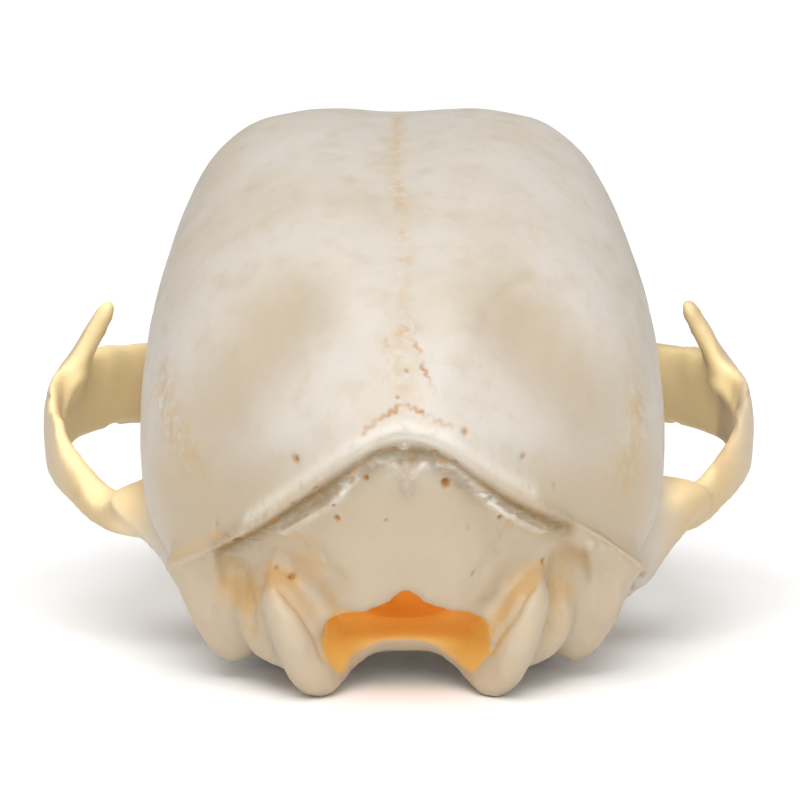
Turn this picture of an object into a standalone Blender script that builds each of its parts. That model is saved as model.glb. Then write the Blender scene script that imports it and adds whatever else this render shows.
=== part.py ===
"""Skull of a young lynx without its lower jaw, life size, resting on its canine tips and occipital condyles.

The skull is modelled in its own frame in millimetres: x to its right, y towards the nose from the back of the
condyles, z up from their underside. At the end it is tilted onto its resting points and turned into metres.
"""

import math

import bmesh
import bpy
import numpy as np
from mathutils import Matrix, Vector

# Driving dimensions of the skull, in millimetres
ZYGOMATIC_HALF = 41.0  # middle of the cheek arch at its widest
INION = (0.0, -2.0, 31.3)  # peak of the crest at the back of the head
CREST_BEND = 0.0222  # how fast the back of the head falls away sideways
NUCHAL_RECESS = 2.0  # how far the nape's surface lies in front of the crest
NUCHAL_LEAN = 0.13  # the nape leans forward by this for each millimetre down
CONDYLE_REST = (9.3, 4.0, 0.0)
CANINE_TIP = (13.9, 103.0, -16.75)
GAP = 0.3  # width of the gaps that part neighbouring bones and teeth
OCCIPITAL_THICKNESS = 4.0
CREST_ROOF = 2.0  # the suture runs this far above the crest
BASIOCCIPITAL = (8.4, 31.0, 8.2)  # half width, front end and top of the bone's forward tongue
MUZZLE_SUTURE = ((0.0, 84.5, 43.0), (0.0, 67.5, 0.0))  # two points of the plane behind the muzzle
LEFT_SOCKET_SHIFT = 2.6  # the left jaw socket sits this much nearer the middle than the right one
SHARP = math.radians(42)  # edges that turn more than this are drawn sharp
GROUND_FLAT = 0.12  # how much is worn off each resting point
BONE_TRIANGLES = 8200
SOCKET_TRIANGLES = 120

# Main body of the skull from the nape to the front teeth. Each row: distance forward, top, half width, height of
# the widest line, underside, squareness above that line and below it (2 is an ellipse)
BODY_STATIONS = (
    (-4.0, 28.0, 7.0, 18.0, 11.0, 2.0, 2.4),
    (-2.0, 31.0, 11.0, 17.5, 9.5, 2.0, 2.5),
    (1.0, 34.3, 15.0, 17.0, 8.0, 2.0, 2.6),
    (4.0, 37.0, 18.6, 16.5, 6.6, 2.05, 2.7),
    (8.0, 40.2, 22.4, 16.0, 5.4, 2.1, 2.8),
    (13.5, 43.8, 26.3, 16.5, 5.0, 2.15, 2.8),
    (20.0, 47.2, 28.6, 18.5, 5.0, 2.25, 2.5),
    (28.0, 49.9, 29.5, 20.0, 5.2, 2.45, 2.2),
    (36.0, 51.6, 29.3, 21.0, 6.0, 2.7, 2.1),
    (44.0, 52.6, 28.1, 22.5, 7.5, 3.0, 2.1),
    (50.0, 52.8, 26.7, 24.5, 8.5, 3.35, 2.1),
    (56.0, 52.6, 24.7, 28.0, 8.5, 3.7, 2.1),
    (62.0, 51.5, 21.9, 31.0, 6.0, 3.5, 2.2),
    (66.0, 50.0, 20.6, 28.0, -0.5, 2.8, 2.6),
    (71.0, 48.4, 20.6, 14.0, -1.5, 2.45, 2.8),
    (77.0, 45.8, 21.2, 5.0, -2.4, 2.2, 3.0),
    (84.0, 42.0, 21.4, 4.0, -2.8, 1.85, 3.0),
    (90.0, 38.4, 19.6, 4.0, -3.0, 1.75, 3.0),
    (96.0, 34.8, 17.4, 3.5, -3.0, 1.75, 3.0),
    (102.0, 31.4, 16.4, 3.0, -3.0, 1.75, 3.0),
    (106.0, 28.8, 14.8, 2.6, -2.8, 1.8, 3.0),
    (109.0, 22.0, 13.0, 2.2, -2.6, 1.9, 2.8),
    (112.0, 13.5, 10.8, 1.8, -2.4, 2.0, 2.6),
    (115.0, 5.0, 7.0, 1.4, -1.8, 2.0, 2.2),
)

# Bars as rows of centre, half thickness and half height
ARCH_PATH = (  # cheek arch from the ear to the muzzle
    (21.0, 31.0, 11.8, 3.2, 3.0),
    (27.5, 33.0, 10.4, 3.0, 2.9),
    (33.2, 36.0, 9.9, 2.3, 2.6),
    (36.9, 40.0, 11.5, 1.7, 3.0),
    (39.9, 45.0, 13.5, 1.4, 4.1),
    (ZYGOMATIC_HALF, 51.0, 15.2, 1.1, 5.4),
    (40.2, 58.0, 15.4, 1.1, 6.1),
    (37.4, 65.0, 15.0, 1.4, 5.8),
    (33.4, 71.5, 14.0, 2.0, 5.4),
    (28.8, 77.5, 12.2, 2.8, 5.8),
    (23.5, 82.5, 10.8, 4.0, 6.4),
    (18.0, 86.0, 10.0, 4.0, 6.4),
)
ARCH_SPUR_PATH = (  # spur of the cheek bone behind the eye
    (39.0, 60.5, 17.0, 1.3, 5.2),
    (38.0, 59.8, 21.0, 1.3, 3.8),
    (36.2, 58.4, 25.0, 1.2, 2.2),
    (34.5, 56.6, 28.2, 1.1, 1.5),
    (33.9, 56.0, 29.4, 0.9, 1.0),
)
BROW_SPUR_PATH = (  # ridge over the eye that ends in a spur behind it
    (10.5, 81.0, 40.4, 3.6, 2.2),
    (14.6, 75.0, 42.0, 4.0, 2.6),
    (17.9, 69.6, 41.4, 3.6, 2.6),
    (20.8, 65.6, 39.2, 2.5, 2.1),
    (22.7, 62.4, 35.8, 1.1, 1.1),
)
CONDYLE_PATH = (
    (14.6, 6.5, 14.2, 1.2, 1.8),
    (14.1, 4.4, 12.3, 1.7, 2.8),
    (13.1, 3.4, 10.0, 2.3, 3.4),
    (12.1, 2.8, 7.7, 2.6, 3.6),
    (11.0, 3.0, 5.0, 2.6, 3.5),
    (9.7, 4.2, 2.3, 2.5, 3.0),
    (7.9, 6.4, 2.2, 1.9, 2.2),
    (5.6, 8.6, 3.0, 1.4, 1.5),
    (3.0, 9.6, 3.9, 1.1, 1.1),
)
PAROCCIPITAL_PATH = (
    (20.6, 12.4, 14.0, 4.4, 2.6),
    (20.0, 12.2, 9.0, 4.6, 2.4),
    (18.6, 12.4, 4.4, 4.0, 2.2),
    (17.0, 12.8, 1.2, 2.5, 1.7),
)
POSTGLENOID_PATH = (
    (22.4, 28.6, 1.6, 1.4, 1.9),
    (24.0, 28.6, 3.6, 1.6, 3.0),
    (26.2, 28.8, 6.4, 1.7, 3.8),
    (28.8, 29.4, 9.0, 1.6, 3.0),
    (32.0, 30.5, 10.6, 1.4, 2.2),
)
PTERYGOID_PATH = (
    (9.6, 67.0, 4.0, 1.6, 5.2),
    (8.6, 60.0, 5.0, 1.1, 5.0),
    (8.0, 53.0, 5.6, 0.95, 4.8),
    (7.8, 47.5, 5.2, 0.95, 3.8),
    (8.6, 44.0, 3.0, 0.9, 1.6),
)
BASIOCCIPITAL_PATH = (
    (0.0, 8.6, 4.0, 5.4, 1.0),
    (0.0, 14.0, 3.9, 7.6, 1.6),
    (0.0, 22.0, 4.4, 8.5, 2.4),
    (0.0, 32.0, 5.6, 8.5, 3.0),
)
TOOTH_RIDGE_PATH = (
    (20.4, 67.5, 2.2, 1.6, 2.0),
    (20.2, 71.0, 0.9, 2.9, 3.3),
    (19.2, 80.0, 0.6, 3.2, 3.5),
    (17.2, 92.0, 0.6, 3.0, 3.5),
    (15.0, 101.0, 0.6, 3.4, 3.5),
    (10.2, 109.2, 0.8, 2.9, 3.4),
    (4.0, 112.2, 0.9, 2.6, 3.2),
    (-2.0, 112.4, 1.0, 2.4, 3.0),
)
INFRAORBITAL_PATH = (
    (20.4, 95.0, 12.0, 1.9, 2.2),
    (22.2, 87.0, 13.4, 1.7, 2.1),
    (25.0, 78.0, 17.0, 1.7, 2.1),
)
CREST_LINE = (  # the crest from its peak to the mastoid: distance sideways and height
    (0.0, 30.9),
    (2.4, 30.6),
    (5.0, 29.5),
    (8.3, 27.0),
    (12.8, 23.0),
    (17.2, 18.8),
    (21.1, 15.5),
    (23.9, 13.1),
    (26.0, 11.4),
)
FORAMEN_RIM = (  # half of the foramen magnum's outline from its notch down: distance sideways and height
    (0.0, 13.1),
    (1.5, 11.6),
    (3.8, 10.5),
    (6.3, 9.8),
    (8.3, 9.0),
    (9.3, 7.4),
    (9.1, 5.9),
    (7.6, 5.1),
    (4.0, 5.0),
    (0.0, 5.2),
)
FORAMEN_RINGS = ((-8.0, 1.0), (4.0, 1.0), (12.0, 0.86))  # distance forward and the outline's scale there
FORAMEN_MIDDLE = 8.0
MIDLINE = ((0.0, 20.0, 47.2), (0.0, 36.0, 51.5), (0.0, 50.0, 52.5), (0.0, 64.0, 50.6))
TEMPORAL_LINE = ((21.0, 64.0, 43.0), (15.0, 55.0, 50.0), (11.5, 42.0, 50.5), (10.0, 28.0, 48.0), (5.0, 12.0, 42.0))
PARIETAL_HOLLOW = ((12.0, 14.0, 38.0), (17.0, 22.0, 39.0), (20.0, 30.0, 40.0))
NAPE_HOLLOW = ((9.0, 1.0, 21.0), (15.0, 5.0, 14.5))

# Ellipsoids as centre and radii
ORBIT = ((29.2, 71.5, 26.5), (17.0, 16.0, 16.2))
BULLA = ((14.0, 22.9, 5.9), (7.4, 11.5, 8.0))
BULLA_CHAMBER = ((18.6, 22.4, 5.2), (4.4, 6.2, 5.6))  # the small outer chamber, below the ear's opening
BULLA_TURN = math.radians(12)
BULLA_TRIANGLES = 420
BULLA_TOP = 7.2  # the bullas end here, inside their beds
MASTOID = ((21.7, 14.6, 11.0), (3.6, 3.6, 5.0))
GLENOID_SHELF = ((27.0, 32.4, 12.2), (9.5, 4.8, 3.0))
CANINE_ROOT = ((14.2, 99.0, 7.0), (3.9, 5.0, 14.0))
PALATE_VAULT = ((0.0, 88.0, -10.0), (14.6, 27.0, 10.6))
CHOANA = ((0.0, 58.0, 5.6), (6.4, 21.0, 4.4))
FOSSA = ((0.0, 19.0, 15.9), (13.0, 12.5, 11.9))
NOSE = ((0.0, 103.5, 14.5), (7.6, 21.0, 10.2))
NOSE_TURN = math.radians(-24)
TURBINATE = ((3.6, 96.0, 16.0), (1.9, 12.0, 7.0))
EAR = ((24.5, 22.5, 9.0), (3.4, 2.6, 2.6))
CONDYLE_BED = ((12.4, 8.0, 8.2), (6.2, 4.5, 6.5))
CANINE_ROOT_TURN = math.radians(18)

# Walls between the nostrils, and the cuts that free the cheek bones, as a point and turns
SEPTUM = ((-0.7, 84.0, 4.0), (0.7, 104.0, 30.0))
CHEEK_INNER_CUT = ((31.4, 36.0, 10.0), math.radians(7))
CHEEK_REAR_CUT = ((39.5, 47.0, 14.0), math.radians(48))
CHEEK_FORE_CUT = ((30.5, 76.0, 12.0), math.radians(28), math.radians(-20))

# Teeth as cones: foot of the cone, tip, half width, half length at the gum
INCISORS = (((1.7, 112.6), -6.4, 1.25, 1.6), ((4.6, 111.8), -6.7, 1.35, 1.7), ((8.0, 109.8), -8.0, 1.7, 2.1))
PREMOLAR_CUSPS = (((17.0, 93.2), -9.0, 2.0, 3.2), ((17.5, 90.7), -5.4, 1.6, 1.8), ((16.8, 95.8), -4.6, 1.5, 1.4))
CARNASSIAL_CUSPS = (
    ((18.6, 82.0), -11.6, 2.2, 3.9),
    ((20.2, 76.4), -9.4, 1.7, 3.6),
    ((17.9, 85.6), -6.2, 1.7, 1.9),
    ((15.6, 84.8), -5.0, 1.8, 2.0),
)
MOLAR_CUSPS = (((20.6, 71.4), -4.4, 2.0, 1.4), ((18.2, 71.0), -4.0, 1.8, 1.4))
CANINE_PATH = (
    (14.3, 97.6, 6.0, 2.2, 2.8),
    (14.8, 100.2, 1.0, 2.6, 3.3),
    (14.9, 102.2, -3.6, 2.6, 3.2),
    (14.7, 103.4, -8.6, 2.0, 2.5),
    (14.2, 103.6, -13.2, 1.25, 1.5),
    (CANINE_TIP[0], CANINE_TIP[1], CANINE_TIP[2] - 0.1, 0.45, 0.5),
)
GUM_LINE = -2.4
ROOT_TOP = 0.4


def clear_scene():
    for old in list(bpy.data.objects):
        bpy.data.objects.remove(old)


def from_bmesh(name, bm):
    bmesh.ops.recalc_face_normals(bm, faces=bm.faces[:])
    mesh = bpy.data.meshes.new(name)
    bm.to_mesh(mesh)
    bm.free()
    made = bpy.data.objects.new(name, mesh)
    bpy.context.scene.collection.objects.link(made)
    return made


def through(points, count):
    """Count rows read evenly from a smooth curve through the given rows."""
    rows = np.array(points, float)
    steps = np.linspace(0, len(rows) - 1, count)
    slopes = np.gradient(rows, axis=0)
    low = np.minimum(steps.astype(int), len(rows) - 2)
    t = (steps - low)[:, None]
    start = (2 * t**3 - 3 * t**2 + 1) * rows[low] + (t**3 - 2 * t**2 + t) * slopes[low]
    end = (3 * t**2 - 2 * t**3) * rows[low + 1] + (t**3 - t**2) * slopes[low + 1]
    return start + end


def bridge_rings(name, rings):
    """A closed skin over rings of points, with a flat cap at each end."""
    bm = bmesh.new()
    loops = []
    for ring in rings:
        verts = [bm.verts.new(p) for p in ring]
        loops.append([bm.edges.new(ends) for ends in zip(verts, verts[1:] + verts[:1])])
    for first, second in zip(loops, loops[1:]):
        bmesh.ops.bridge_loops(bm, edges=first + second)
    bmesh.ops.holes_fill(bm, edges=loops[0] + loops[-1])
    return from_bmesh(name, bm)


def sweep(name, path, up=(0, 0, 1), steps=28, sides=20):
    """A bar along rows of centre, half thickness and half height along up."""
    rows = through(path, steps)
    tangents = np.gradient(rows[:, :3], axis=0)
    angles = np.linspace(0, 2 * math.pi, sides, endpoint=False)
    rings = []
    for row, tangent in zip(rows, tangents):
        along = Vector(tangent).normalized()
        side = along.cross(Vector(up)).normalized()
        tall = side.cross(along)
        centre, thick, high = Vector(row[:3]), row[3], row[4]
        rings.append([centre + side * thick * math.cos(a) + tall * high * math.sin(a) for a in angles])
    return bridge_rings(name, rings)


def shaped(name, add, centre, stretch, turn=(0, 0, 0), **options):
    """A primitive of size one, stretched, turned about x, y, z and set down at centre."""
    bm = bmesh.new()
    add(bm, **options)
    turned = [Matrix.Rotation(angle, 4, axis) for angle, axis in zip(turn, "XYZ")]
    bm.transform(Matrix.Translation(centre) @ turned[2] @ turned[1] @ turned[0] @ Matrix.Diagonal((*stretch, 1)))
    return from_bmesh(name, bm)


def ball(name, centre, radii, turn=(0, 0, 0), detail=4):
    return shaped(name, bmesh.ops.create_icosphere, centre, radii, turn, subdivisions=detail, radius=1.0)


def block(name, low, high):
    centre = [(a + b) / 2 for a, b in zip(low, high)]
    return shaped(name, bmesh.ops.create_cube, centre, [b - a for a, b in zip(low, high)], size=1.0)


def mirrored(source, name):
    """A copy on the skull's left side."""
    bm = bmesh.new()
    bm.from_mesh(source.data)
    bm.transform(Matrix.Diagonal((-1, 1, 1, 1)))
    bmesh.ops.reverse_faces(bm, faces=bm.faces[:])
    return from_bmesh(name, bm)


def pair(source):
    """The right one with a copy for the left side."""
    name = source.name
    source.name = name + "_right"
    return [source, mirrored(source, name + "_left")]


def apply_modifiers(made):
    graph = bpy.context.evaluated_depsgraph_get()
    mesh = bpy.data.meshes.new_from_object(made.evaluated_get(graph))
    made.modifiers.clear()
    old = made.data
    made.data = mesh
    bpy.data.meshes.remove(old)
    return made


def fuse(name, forms, voxel):
    """One skin round overlapping closed forms."""
    bm = bmesh.new()
    for form in forms:
        bm.from_mesh(form.data)
        bpy.data.objects.remove(form)
    made = from_bmesh(name, bm)
    remesh = made.modifiers.new("clay", "REMESH")
    remesh.mode = "VOXEL"
    remesh.voxel_size = voxel
    return apply_modifiers(made)


def smooth(made, rounds, factor=0.5):
    modifier = made.modifiers.new("smooth", "SMOOTH")
    modifier.iterations = rounds
    modifier.factor = factor
    return apply_modifiers(made)


def combine(made, others, operation="DIFFERENCE", solver="EXACT"):
    for other in others:
        modifier = made.modifiers.new("combine", "BOOLEAN")
        modifier.operation = operation
        modifier.solver = solver
        modifier.object = other
        apply_modifiers(made)
        bpy.data.objects.remove(other)
    return made


def decimate(made, triangles):
    made.data.calc_loop_triangles()
    modifier = made.modifiers.new("coarser", "DECIMATE")
    modifier.ratio = min(1.0, triangles / len(made.data.loop_triangles))
    return apply_modifiers(made)


def copy_of(source, name):
    bm = bmesh.new()
    bm.from_mesh(source.data)
    return from_bmesh(name, bm)


def grown(source, margin):
    """A copy whose skin lies margin further out."""
    made = copy_of(source, source.name + "_room")
    set_points(made, points_of(made) + normals_of(made) * margin)
    return made


def largest_piece(made):
    """Drops the crumbs that a cut can leave beside the main body."""
    bm = bmesh.new()
    bm.from_mesh(made.data)
    left = set(bm.verts)
    pieces = []
    while left:
        front = [left.pop()]
        piece = set(front)
        while front:
            near = {edge.other_vert(v) for v in front for edge in v.link_edges} - piece
            piece |= near
            front = list(near)
        left -= piece
        pieces.append(piece)
    keep = max(pieces, key=len)
    bmesh.ops.delete(bm, geom=[v for v in bm.verts if v not in keep], context="VERTS")
    bm.to_mesh(made.data)
    bm.free()
    return made


def points_of(made):
    points = np.empty(len(made.data.vertices) * 3, np.float32)
    made.data.vertices.foreach_get("co", points)
    return points.reshape(-1, 3).astype(float)


def normals_of(made):
    normals = np.empty(len(made.data.vertices) * 3, np.float32)
    made.data.vertex_normals.foreach_get("vector", normals)
    return normals.reshape(-1, 3).astype(float)


def set_points(made, points):
    made.data.vertices.foreach_set("co", points.astype(np.float32).ravel())
    made.data.update()


def path_distance(points, path):
    """Distance from each point to a path of straight runs."""
    best = np.full(len(points), np.inf)
    for a, b in zip(path[:-1], path[1:]):
        run = b - a
        t = np.clip(((points - a) @ run) / (run @ run), 0, 1)
        best = np.minimum(best, np.linalg.norm(points - (a + t[:, None] * run), axis=1))
    return best


def stroke(made, path, width, height):
    """Raises or sinks the surface near a path on both sides of the skull."""
    points = points_of(made)
    folded = points.copy()
    folded[:, 0] = np.abs(points[:, 0])
    far = path_distance(folded, through(path, 4 * len(path))[:, :3])
    lift = height * np.exp(-((far / width) ** 2))
    set_points(made, points + normals_of(made) * lift[:, None])


def nape_y(x, z):
    """Distance forward of the nape's surface."""
    return INION[1] + NUCHAL_RECESS + CREST_BEND * x**2 + NUCHAL_LEAN * (INION[2] - 9 - z)


def body():
    angles = np.linspace(0, 2 * math.pi, 72, endpoint=False)
    cos, sin = np.cos(angles), np.sin(angles)
    rings = []
    for y, top, half, wide, under, above, below in through(BODY_STATIONS, 110):
        power = np.where(sin >= 0, 2 / above, 2 / below)
        reach = np.where(sin >= 0, top - wide, wide - under)
        x = half * np.sign(cos) * np.abs(cos) ** power
        z = wide + reach * np.sign(sin) * np.abs(sin) ** power
        rings.append([Vector((a, y, b)) for a, b in zip(x, z)])
    made = bridge_rings("body", rings)
    points = points_of(made)
    points[:, 1] = np.maximum(points[:, 1], nape_y(points[:, 0], points[:, 2]))
    set_points(made, points)
    return made


def crest_point(x, z):
    return (x, INION[1] + CREST_BEND * x**2, z)


def clay():
    """All outer forms fused in one skin."""
    forms = [body()]
    orbits = pair(ball("orbit", *ORBIT))
    combine(forms[0], orbits)
    crest = [(*crest_point(x, z - 0.6), 1.5, 1.2) for x, z in CREST_LINE]
    forms += pair(sweep("crest", [(x, y + 1.2, z, a, b) for x, y, z, a, b in crest], up=(0, 1, 0), sides=12))
    forms += pair(sweep("arch", ARCH_PATH, steps=60))
    forms += pair(sweep("arch_spur", ARCH_SPUR_PATH, up=(0, 1, 0)))
    forms += pair(sweep("brow_spur", BROW_SPUR_PATH))
    forms += pair(sweep("condyle", CONDYLE_PATH, up=(0, 1, 0)))
    forms += pair(sweep("paroccipital", PAROCCIPITAL_PATH, up=(0, 1, 0)))
    jaw_sockets = pair(sweep("postglenoid", POSTGLENOID_PATH)) + pair(ball("glenoid_shelf", *GLENOID_SHELF))
    for made in jaw_sockets[1::2]:
        made.data.transform(Matrix.Translation((LEFT_SOCKET_SHIFT, 0, 0)))
    forms += jaw_sockets
    forms += pair(sweep("pterygoid", PTERYGOID_PATH))
    forms += pair(sweep("tooth_ridge", TOOTH_RIDGE_PATH))
    forms += pair(ball("mastoid", *MASTOID))
    forms += pair(ball("canine_root", *CANINE_ROOT, turn=(CANINE_ROOT_TURN, 0, 0)))
    forms += pair(ball("condyle_bed", *CONDYLE_BED))
    forms.append(sweep("basioccipital", BASIOCCIPITAL_PATH))
    skin = smooth(fuse("skin", forms, 0.6), 8)
    stroke(skin, MIDLINE, 6.0, -0.7)
    stroke(skin, TEMPORAL_LINE, 2.2, 0.35)
    stroke(skin, PARIETAL_HOLLOW, 5.0, -0.5)
    stroke(skin, NAPE_HOLLOW, 3.4, -1.0)
    return skin


def foramen_magnum():
    outline = list(FORAMEN_RIM) + [(-x, z) for x, z in FORAMEN_RIM[-2:0:-1]]
    rings = []
    for y, scale in FORAMEN_RINGS:
        rings.append([Vector((x * scale, y, FORAMEN_MIDDLE + (z - FORAMEN_MIDDLE) * scale)) for x, z in outline])
    return bridge_rings("foramen_magnum", rings)


def hollow(skin):
    """Opens the braincase behind the foramen magnum, the nose, the throat and the canals below the eyes."""
    cutters = [
        foramen_magnum(),
        ball("fossa", *FOSSA),
        ball("nose", *NOSE, turn=(NOSE_TURN, 0, 0)),
        ball("choana", *CHOANA),
        ball("palate_vault", *PALATE_VAULT),
    ]
    cutters += pair(sweep("infraorbital", INFRAORBITAL_PATH))
    cutters += pair(ball("ear", *EAR))
    combine(skin, cutters, solver="MANIFOLD")
    forms = [skin, block("septum", *SEPTUM)]
    forms += pair(ball("turbinate", *TURBINATE, turn=(NOSE_TURN, 0, 0)))
    return smooth(fuse("bone", forms, 0.6), 2)


def half_space(name, first, second, in_front):
    """A large block on one side of the plane through two points and the x axis."""
    a, b = Vector(first), Vector(second)
    tilt = math.atan2((a - b).y, (a - b).z)
    made = block(name, (-60, 0 if in_front else -120, -80), (60, 120 if in_front else 0, 120))
    made.data.transform(Matrix.Translation(b) @ Matrix.Rotation(-tilt, 4, "X"))
    return made


def occipital_room(name, margin):
    """The space of the occipital bone, larger by a margin."""
    line = np.array(CREST_LINE)
    rings = []
    for x in np.linspace(-36.0, 36.0, 49):
        roof = np.interp(abs(x), line[:, 0], line[:, 1]) + CREST_ROOF + margin
        front = [(nape_y(x, z) + OCCIPITAL_THICKNESS + margin, z) for z in (-9.0, 2.0, roof - 2.5)]
        outline = [(-20.0, -9.0)] + front + [(front[-1][0] - 2.0, roof), (-20.0, roof)]
        rings.append([Vector((x, y, z)) for y, z in outline])
    made = bridge_rings(name, rings)
    half, front, top = BASIOCCIPITAL
    tongue = block(name + "_tongue", (-half - margin, -19.0, -9.0), (half + margin, front + margin, top + margin))
    return combine(made, [tongue], "UNION")


def cheek_room(name, margin):
    """The space of the cheek bone of the right side, larger by a margin."""
    made = block(name, (-margin, 0.0, -20.0), (40.0, 60.0, 40.0))
    place, turn = CHEEK_INNER_CUT
    made.data.transform(Matrix.Translation(place) @ Matrix.Rotation(turn, 4, "Z"))
    rear = block("rear", (-40.0, -60.0, -60.0), (60.0, 0.0 - margin, 80.0))
    place, turn = CHEEK_REAR_CUT
    rear.data.transform(Matrix.Translation(place) @ Matrix.Rotation(turn, 4, "X"))
    fore = block("fore", (-60.0, margin, -60.0), (60.0, 80.0, 80.0))
    place, turn, lean = CHEEK_FORE_CUT
    turns = Matrix.Rotation(turn, 4, "Z") @ Matrix.Rotation(lean, 4, "X")
    fore.data.transform(Matrix.Translation(place) @ turns)
    return combine(made, [rear, fore])


def cusp(name, foot, tip, half_width, half_length):
    """A pointed cone that stands on a short root, point down."""
    x, y = foot
    rows = (
        (x, y, ROOT_TOP, half_width * 0.7, half_length * 0.7),
        (x, y, GUM_LINE + 1.2, half_width * 0.95, half_length * 0.95),
        (x, y, GUM_LINE - 0.6, half_width, half_length),
        (x, y, GUM_LINE * 0.45 + tip * 0.55, half_width * 0.66, half_length * 0.66),
        (x, y, tip * 0.92 + GUM_LINE * 0.08, half_width * 0.3, half_length * 0.26),
        (x, y, tip, half_width * 0.12, half_length * 0.1),
    )
    return sweep(name, rows, up=(0, 1, 0), steps=16, sides=14)


def tooth(name, cusps, triangles):
    made = fuse(name, [cusp(f"{name}_cusp{i}", *row) for i, row in enumerate(cusps)], 0.3)
    return decimate(smooth(made, 2), triangles)


def teeth_of_right_side():
    rows = [tooth(f"incisor_{i + 1}", [row], 110) for i, row in enumerate(INCISORS)]
    rows.append(sweep("canine", CANINE_PATH, up=(0, 1, 0), steps=12, sides=14))
    rows.append(tooth("premolar_3", PREMOLAR_CUSPS, 180))
    rows.append(tooth("carnassial", CARNASSIAL_CUSPS, 240))
    rows.append(tooth("molar_1", MOLAR_CUSPS, 110))
    return rows


def bulla_of_right_side():
    """The blown-up bone under the ear, cut flat on top inside its bed."""
    chambers = [ball(name, *form, turn=(0, 0, BULLA_TURN)) for name, form in (("a", BULLA), ("b", BULLA_CHAMBER))]
    made = decimate(smooth(fuse("bulla", chambers, 0.5), 6), BULLA_TRIANGLES)
    return combine(made, [block("lid", (0.0, 0.0, BULLA_TOP), (40.0, 60.0, 40.0))])


def wear_flat(made, place):
    """Takes the ground plane off the underside of a part that rests on it."""
    floor = block("floor", (-80, -40, -40), (80, 140, 0.0))
    floor.data.transform(place.inverted())
    return combine(made, [floor])


def paint(made, name, colour, roughness):
    material = bpy.data.materials.new(name)
    material.use_nodes = True
    shader = material.node_tree.nodes["Principled BSDF"]
    shader.inputs["Base Color"].default_value = (*colour, 1)
    shader.inputs["Roughness"].default_value = roughness
    shader.inputs["Metallic"].default_value = 0.0
    made.data.materials.clear()
    made.data.materials.append(material)
    made.data.shade_smooth()
    made.data.set_sharp_from_angle(angle=SHARP)


def main():
    clear_scene()
    bone = decimate(hollow(clay()), BONE_TRIANGLES)
    bullas = pair(bulla_of_right_side())
    for made in bullas:
        combine(bone, [grown(made, GAP)])
    teeth = [made for right in teeth_of_right_side() for made in pair(right)]

    occipital = combine(copy_of(bone, "occipital"), [occipital_room("inside", 0.0)], "INTERSECT")
    rest = combine(bone, [occipital_room("outside", GAP)], solver="MANIFOLD")
    cheeks = []
    for name, flip in (("right", False), ("left", True)):
        inner, outer = cheek_room("inner", 0.0), cheek_room("outer", GAP)
        if flip:
            inner_left, outer_left = mirrored(inner, "inner_left"), mirrored(outer, "outer_left")
            bpy.data.objects.remove(inner)
            bpy.data.objects.remove(outer)
            inner, outer = inner_left, outer_left
        cheeks.append(combine(copy_of(rest, "zygomatic_" + name), [inner], "INTERSECT"))
        combine(rest, [outer])
    behind = half_space("behind", *MUZZLE_SUTURE, False)
    ahead = half_space("ahead", *MUZZLE_SUTURE, True)
    ahead.data.transform(Matrix.Translation((0, GAP, 0)))
    face = combine(copy_of(rest, "muzzle"), [ahead], "INTERSECT")
    braincase = combine(copy_of(rest, "braincase"), [behind], "INTERSECT")
    bpy.data.objects.remove(rest)
    for made in teeth:
        combine(face, [decimate(grown(made, GAP + 0.15), SOCKET_TRIANGLES)])
    bones = [occipital, braincase, face] + cheeks + bullas
    place = Matrix.Rotation(math.atan2(-CANINE_TIP[2], CANINE_TIP[1] - CONDYLE_REST[1]), 4, "X")
    lift = (place @ Vector(CONDYLE_REST)).z
    place = Matrix.Translation((0, 0, -lift - GROUND_FLAT)) @ place
    for made in bones + teeth:
        largest_piece(made)
    for made in [occipital] + [made for made in teeth if made.name.startswith("canine")]:
        wear_flat(made, place)
    for made in bones:
        paint(made, made.name + "_bone", (0.80, 0.72, 0.60), 0.6)
    for made in teeth:
        paint(made, made.name + "_enamel", (0.86, 0.80, 0.68), 0.35)
    for made in bones + teeth:
        made.data.transform(place)
    corners = np.concatenate([points_of(made) for made in bones + teeth])
    low, high = corners.min(axis=0), corners.max(axis=0)
    centre = Matrix.Translation((-(low[0] + high[0]) / 2, -(low[1] + high[1]) / 2, -low[2]))
    for made in bones + teeth:
        made.data.transform(Matrix.Scale(0.001, 4) @ centre)


main()
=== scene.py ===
# Skull of a young lynx without its lower jaw, seen from behind on a white table.
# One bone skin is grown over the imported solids, then carved: crest, nape, sutures and holes.
import math

import bmesh
import bpy
import numpy as np
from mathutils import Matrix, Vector
from mathutils.bvhtree import BVHTree


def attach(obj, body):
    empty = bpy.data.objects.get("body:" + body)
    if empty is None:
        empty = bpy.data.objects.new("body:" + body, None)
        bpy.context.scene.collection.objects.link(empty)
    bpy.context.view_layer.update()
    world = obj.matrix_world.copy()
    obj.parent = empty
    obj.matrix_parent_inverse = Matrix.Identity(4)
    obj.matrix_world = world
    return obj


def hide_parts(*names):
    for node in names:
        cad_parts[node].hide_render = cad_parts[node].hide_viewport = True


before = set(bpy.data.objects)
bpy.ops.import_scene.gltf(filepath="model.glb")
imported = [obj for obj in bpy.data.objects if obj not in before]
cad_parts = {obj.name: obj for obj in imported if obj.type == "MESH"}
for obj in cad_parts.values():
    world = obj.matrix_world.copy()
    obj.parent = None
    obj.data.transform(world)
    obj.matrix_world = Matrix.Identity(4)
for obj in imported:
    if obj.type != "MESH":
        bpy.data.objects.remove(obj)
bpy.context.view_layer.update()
print("frame loaded:", len(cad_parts), "solids")

millimetre = 0.001


# Camera, as the photograph was taken

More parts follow.
